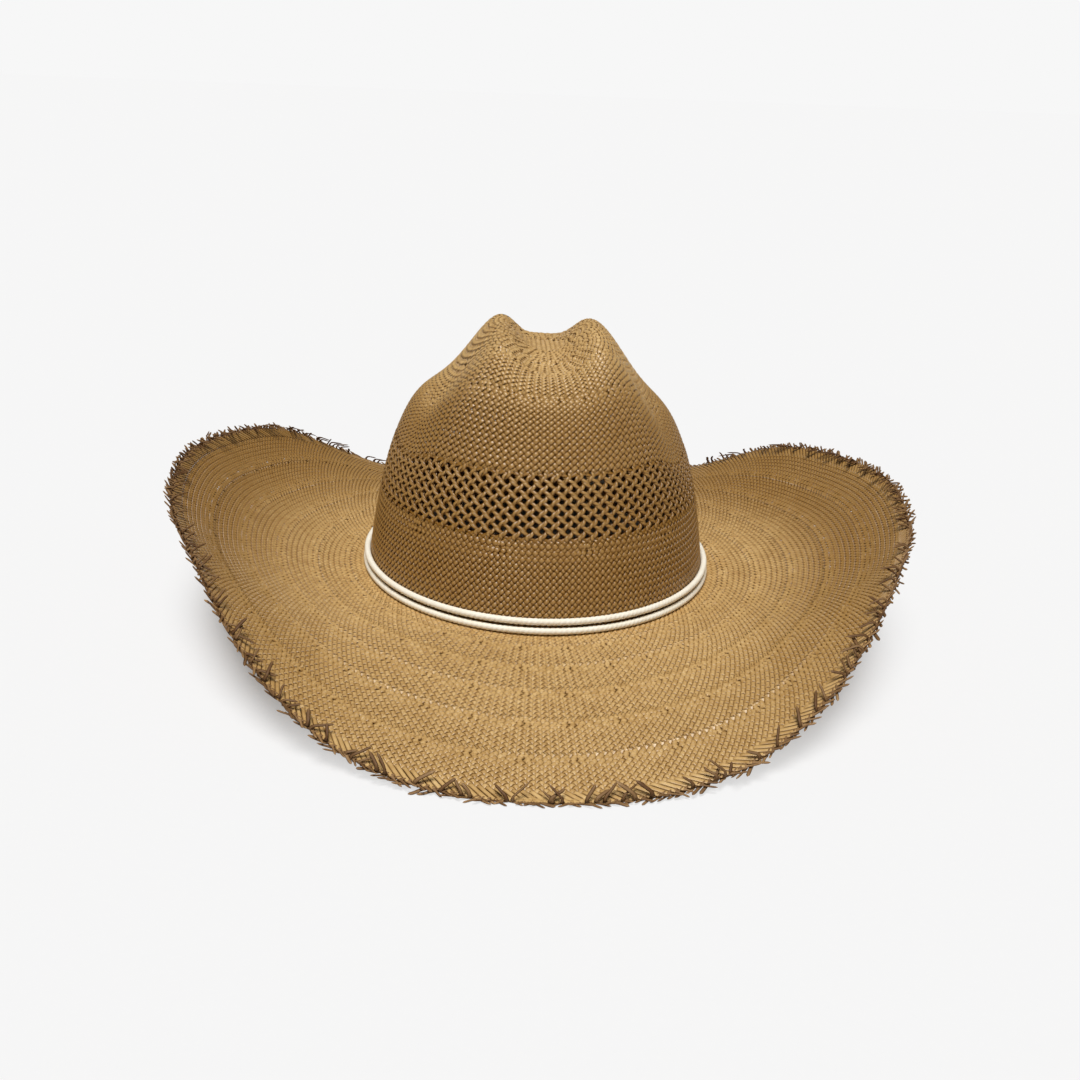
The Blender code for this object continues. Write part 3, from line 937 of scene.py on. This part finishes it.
def twisted_cord(name, height, replaced):
    """One turn of laid cord round the crown: a round cord with shallow plies winding along it."""
    count = 1500
    corners = 15
    opening = CORD_HALF_OPENING / (HALF_WIDTH + CORD_RADIUS)
    angle = np.linspace(-math.pi + opening, math.pi - opening, count)
    inset = -(CORD_RADIUS + GAP)
    centre = oval_point(angle, inset, height)
    travelled = distances(centre)
    normal = np.broadcast_to(UPWARD, centre.shape)
    tangent = unit(np.gradient(centre, axis=0))
    side = np.cross(tangent, normal)
    around = np.arange(corners) * TURN / corners
    phase = CORD_PLIES * around[None, :] - TURN * travelled[:, None] / CORD_TWIST * CORD_PLIES
    radius = CORD_RADIUS * (1.0 + CORD_PLY_DEPTH * np.abs(np.cos(phase / 2)) * 2 - CORD_PLY_DEPTH)
    across = side[:, None] * (radius * np.cos(around))[..., None]
    points = centre[:, None] + across + normal[:, None] * (radius * np.sin(around))[..., None]
    quads = ring_faces(1, count, corners)
    make_mesh(name, points, quads, IVORY, "hatband", replaced)


def keeper():
    """The wrapped join of the cords at the rear: turns of the same cord round both, over a soft core."""
    low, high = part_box("hatband_keeper")
    centre = (low + high) / 2
    wrap_radius = (high.x - low.x) / 2 / KEEPER_WRAPS
    bundle = Bundle()
    steps = 40
    turn = np.arange(steps) * TURN / steps
    half_depth = (high.y - low.y) / 2 - wrap_radius
    half_height = (high.z - low.z) / 2 - wrap_radius
    y = centre.y + half_depth * np.sign(np.cos(turn)) * np.abs(np.cos(turn)) ** KEEPER_SQUARENESS
    z = centre.z + half_height * np.sign(np.sin(turn)) * np.abs(np.sin(turn)) ** KEEPER_SQUARENESS
    section = round_section(8)
    size = wrap_radius * KEEPER_FULLNESS
    for wrap in range(KEEPER_WRAPS):
        x = low.x + wrap_radius * (2 * wrap + 1)
        centre_line = np.stack([np.full(steps, x), y, z], axis=-1)[None]
        outward = np.stack([np.zeros(steps), np.cos(turn), np.sin(turn)], axis=-1)[None]
        rings = ribbon_rings(centre_line, outward, size, size, section, closed=True)
        bundle.add(rings, section, closed=True)
    steps = 12
    core = np.array([low.x + wrap_radius / 2, centre.y, centre.z])
    core_line = core + np.linspace(0, 1, steps)[:, None] * np.array([high.x - low.x - wrap_radius, 0, 0])
    depth = np.full((1, steps), half_depth)
    height = np.full((1, steps), half_height)
    depth[0, [0, -1]] = half_depth * 0.3
    height[0, [0, -1]] = half_height * 0.5
    section = round_section(12)
    bundle.add(ribbon_rings(core_line[None], UPWARD[None, None], depth, height, section), section)
    bundle.build("hatband_keeper_wraps", IVORY, "hatband", ["hatband_keeper"], "ivory_cord")


# ---- inside the crown


def sweatband():
    """The leather strip: a closed strip with rounded edges that lies just inside the crown wall."""
    count = 480
    angle = np.arange(count) * TURN / count
    bottom = 2 * REED_RADIUS + GAP
    outside = WALL + SWEATBAND_CLEARANCE
    inside = outside + SWEATBAND_THICKNESS
    middle = outside + SWEATBAND_THICKNESS / 2
    edge = 0.25 * SWEATBAND_THICKNESS
    heights = bottom + edge + (SWEATBAND_TOP - bottom - 2 * edge) * np.linspace(0, 1, 13)
    profile = [(middle, bottom)] + [(outside, height) for height in heights]
    profile += [(middle, SWEATBAND_TOP)] + [(inside, height) for height in heights[::-1]]
    rings = []
    for inset, height in profile:
        ripple = SWEATBAND_RIPPLE * np.sin(23 * angle + 60 * height) * np.sin(7 * angle)
        rings.append(oval_point(angle, inset + ripple, height))
    points = np.stack(rings, axis=1)
    quads = ring_faces(1, count, len(profile), closed=True)
    make_mesh("sweatband_leather", points, quads, LEATHER, "hat", ["sweatband"])


def reed():
    """The cotton-covered reed under the sweatband's lower edge, ribbed by its tape."""
    count = 1800
    corners = 10
    angle = np.arange(count) * TURN / count
    inset = WALL + SWEATBAND_CLEARANCE + REED_RADIUS
    centre = oval_point(angle, inset, REED_RADIUS)
    outward = oval_point(angle, inset - 1 * MM, REED_RADIUS) - centre
    size = REED_RADIUS * (0.94 + 0.06 * np.cos(angle * count / 5))[None, :]
    section = round_section(corners)
    rings = ribbon_rings(centre[None], outward[None], size, size, section, closed=True)
    quads = ring_faces(1, count, corners, closed=True)
    make_mesh("sweatband_reed_tape", rings, quads, REED_TAPE, "hat", ["sweatband_reed"])


def stitches():
    """The row of stitches along the sweatband, each a short bar of thread with rounded ends."""
    inset = WALL + SWEATBAND_CLEARANCE + SWEATBAND_THICKNESS + THREAD_RADIUS
    fine = np.linspace(0, TURN, 4000)
    line = oval_point(fine, inset, THREAD_HEIGHT)
    travelled = distances(line)
    count = round(travelled[-1] / STITCH_PITCH)
    middle = (np.arange(count) + 0.5) * travelled[-1] / count
    share = np.linspace(-1, 1, 7)
    place = middle[:, None] + share[None, :] * STITCH_LENGTH / 2
    angle = np.interp(place, travelled, fine)
    sink = THREAD_RADIUS * 1.5 * share[None, :] ** 4
    centre = oval_point(angle, inset - sink, THREAD_HEIGHT)
    outward = oval_point(angle, inset - 1 * MM, THREAD_HEIGHT) - centre
    size = THREAD_RADIUS * (1 - 0.55 * share[None, :] ** 6)
    section = round_section(6)
    rings = ribbon_rings(centre, outward, size, size, section)
    quads = ring_faces(count, len(share), 6)
    make_mesh("sweatband_stitches", rings, quads, THREAD, "hat", ["sweatband_thread"])


def trim_place(angle, half_width, thickness):
    """The middle of a flat piece against the sweatband, and the directions across, up and out of it."""
    chord_room = half_width**2 / (1.8 * REAR_RADIUS)
    inset = WALL + SWEATBAND_CLEARANCE + SWEATBAND_THICKNESS + 2 * GAP + thickness / 2 + chord_room
    heights = TRIM_HEIGHT + TAG_HEIGHT / 2 * np.array([0, 1, -1])
    middle, above, below = oval_point(np.full(3, angle), inset, heights)
    up = unit(above - below)
    across = unit(np.array([HALF_WIDTH * math.cos(angle), HALF_LENGTH * math.sin(angle), 0.0]))
    return middle, across, up, np.cross(across, up)


def ribbon_strip(bundle, place, path, half_width):
    """A strip of ribbon whose middle follows (across, up, out) points beside a place on the sweatband."""
    middle, across, up, out = place
    centre = middle + path[:, 0:1] * across + path[:, 1:2] * up + path[:, 2:3] * out
    tangent = unit(np.gradient(centre, axis=0))
    flat = np.cross(tangent, np.broadcast_to(up, tangent.shape))
    rings = ribbon_rings(centre[None], flat[None], half_width[None], RIBBON_THICKNESS / 2, RIBBON_SECTION)
    bundle.add(rings, RIBBON_SECTION)


def bow():
    """The small ribbon bow at the rear: two flattened loops, two tails and the band round their middle."""
    place = trim_place(math.pi, BOW_HALF_WIDTH, BOW_THICKNESS)
    bundle = Bundle()
    turn = np.linspace(0, TURN, 25)
    for side in (1, -1):
        reach = (1 - np.cos(turn)) / 2
        across = side * reach * (BOW_HALF_WIDTH - 1 * MM)
        loop = np.stack([across, 0.02 * reach * BOW_HALF_HEIGHT, 0.38 * MM * np.sin(turn)], axis=-1)
        ribbon_strip(bundle, place, loop, BOW_HALF_HEIGHT * (0.38 + 0.58 * np.sin(np.pi * reach * 0.62)))
        share = np.linspace(0, 1, 8)
        across = side * share * 0.62 * BOW_HALF_WIDTH
        tail = np.stack([across, -share * 0.55 * BOW_HALF_HEIGHT, 0 * share - 0.1 * MM], axis=-1)
        ribbon_strip(bundle, place, tail, BOW_HALF_HEIGHT * (0.3 + 0.1 * share))
    turn = np.linspace(0, TURN, 17)[:, None]
    middle, _, up, out = place
    centre = middle + BOW_HALF_HEIGHT * 0.42 * np.cos(turn) * up + 0.55 * MM * np.sin(turn) * out
    normal = np.cos(turn) * up + np.sin(turn) * out
    rings = ribbon_rings(centre[None], normal[None], 1.7 * MM, RIBBON_THICKNESS / 2, RIBBON_SECTION)
    bundle.add(rings, RIBBON_SECTION)
    bundle.build("sweatband_ribbon_bow", RIBBON, "hat", ["sweatband_bow"], "ribbon")


def size_tag():
    """The small blank card tag: a thin sheet with round corners and a slight curl."""
    middle, across, up, out = trim_place(TAG_ANGLE, TAG_WIDTH / 2, TAG_THICKNESS)
    columns = 19
    rows = 25
    u, v = np.meshgrid(np.linspace(-1, 1, columns), np.linspace(-1, 1, rows), indexing="ij")
    past_corner = np.maximum(np.abs(v) - 1 + TAG_CORNER, 0) / TAG_CORNER
    squeeze = 1 - np.sqrt(np.maximum(1 - past_corner**2, 0))
    x = u * TAG_WIDTH / 2 * (1 - TAG_CORNER * squeeze)
    y = v * TAG_HEIGHT / 2
    curl = 0.35 * MM * (np.maximum(-v, 0) ** 2) + 0.1 * MM * u**2
    sheets = []
    for face in (1, -1):
        depth = face * TAG_THICKNESS / 2 * 0.7 + curl
        sheets.append(middle + x[..., None] * across + y[..., None] * up + depth[..., None] * out)
    points = np.concatenate([sheet.reshape(-1, 3) for sheet in sheets])
    below = columns * rows
    index = np.arange(below).reshape(columns, rows)
    front = [index[:-1, :-1], index[1:, :-1], index[1:, 1:], index[:-1, 1:]]
    front = np.stack(front, axis=-1).reshape(-1, 4)
    rim = np.concatenate([index[:, 0], index[-1, 1:], index[-2::-1, -1], index[0, -2:0:-1]])
    next_rim = np.roll(rim, -1)
    side = np.stack([next_rim, rim, rim + below, next_rim + below], axis=-1)
    quads = np.concatenate([front, front[:, ::-1] + below, side])
    make_mesh("sweatband_size_tag", points, quads, CARD, "hat", ["size_tag"])


# ---- the stage


def floor():
    """A pale floor, wide enough to reach the horizon, whose camera-only glow fades under the hat and paints a
    shadow there.
    """
    material, shader = new_material("pale_floor", 0.9, 0.0)
    place = add_node(material, "ShaderNodeTexCoord").outputs["Object"]
    grain = add_node(material, "ShaderNodeTexNoise", Vector=place, Scale=300.0)
    stops = [(0.0, (0.80, 0.80, 0.81)), (1.0, (0.84, 0.84, 0.85))]
    colour = colour_ramp(material, grain.outputs["Fac"], stops)
    feed(material, shader.inputs["Base Color"], colour)
    hat_size = (1 / HAT_HALF_WIDTH, 1 / HAT_HALF_LENGTH, 0)
    stretch = add_node(material, "ShaderNodeMapping", Vector=place, Scale=hat_size)
    distance = add_node(material, "ShaderNodeVectorMath", {"operation": "LENGTH"}, Vector=stretch.outputs[0])
    distance = distance.outputs["Value"]
    # Painted shadow: the glow fades away under the hat, so the floor there shows darker than its lighting
    # makes it.
    low, high = FLOOR_PAINTED_SHADOW_FADE
    smooth = {"interpolation_type": "SMOOTHSTEP"}
    painted_shadow_fade = add_node(material, "ShaderNodeMapRange", smooth, Value=distance, From_Min=low, From_Max=high)
    seen = add_node(material, "ShaderNodeLightPath").outputs["Is Camera Ray"]
    share = times(material, times(material, painted_shadow_fade.outputs["Result"], seen), FLOOR_GLOW)
    glow = add_node(material, "ShaderNodeEmission", Color=SURROUND_COLOUR, Strength=1.0)
    blend = add_node(material, "ShaderNodeMixShader", Fac=share)
    feed(material, blend.inputs[1], shader.outputs[0])
    feed(material, blend.inputs[2], glow.outputs[0])
    output = material.node_tree.nodes["Material Output"]
    feed(material, output.inputs["Surface"], blend.outputs[0])
    half = FLOOR_HALF_SIZE
    corners = [(-half, -half, 0), (half, -half, 0), (half, half, 0), (-half, half, 0)]
    mesh = bpy.data.meshes.new("floor")
    mesh.from_pydata(corners, [], [(0, 1, 2, 3)])
    mesh.materials.append(material)
    piece = add_object("floor", mesh)


def studio():
    """Soft light from above, and an even pale surround that is brighter to the camera than as a light."""
    light = bpy.data.lights.new("overhead_softbox", "SUN")
    light.energy = SUN_STRENGTH
    light.angle = SUN_SPREAD
    light.color = SUN_COLOUR
    lamp = add_object("overhead_softbox", light)
    lamp.rotation_mode = "QUATERNION"
    lamp.rotation_quaternion = SUN_DIRECTION.to_track_quat("-Z", "Y")
    world = bpy.data.worlds.new("surround")
    world.use_nodes = True
    bpy.context.scene.world = world
    background = world.node_tree.nodes["Background"]
    background.inputs["Color"].default_value = SURROUND_COLOUR
    seen = add_node(world, "ShaderNodeLightPath").outputs["Is Camera Ray"]
    strength = add_node(world, "ShaderNodeMapRange", Value=seen, To_Min=SURROUND_LIGHT, To_Max=1.0)
    feed(world, background.inputs["Strength"], strength.outputs["Result"])
    bpy.context.scene.view_settings.view_transform = "Standard"


def camera():
    """The camera, in front of the hat and above it."""
    data = bpy.data.cameras.new("camera")
    data.lens = LENS
    data.sensor_width = SENSOR
    data.shift_x, data.shift_y = CAMERA_SHIFT
    data.clip_start = 0.01
    eye = add_object("camera", data)
    forward = CAMERA_DIRECTION.normalized()
    right = forward.cross(CAMERA_UP).normalized()
    up = right.cross(forward)
    place = Matrix((right, up, -forward)).transposed().to_4x4()
    place.translation = CAMERA_PLACE
    eye.matrix_world = place
    bpy.context.scene.camera = eye


camera()
floor()
studio()
straw_ends = weave()
weave_tip()
fray(straw_ends)
edge_weft()
twisted_cord("hatband_lower_twisted_cord", CORD_RADIUS + GAP, ["hatband_lower_cord"])
twisted_cord("hatband_upper_twisted_cord", CORD_RADIUS + GAP + CORD_PITCH, ["hatband_upper_cord"])
keeper()
sweatband()
reed()
stitches()
bow()
size_tag()
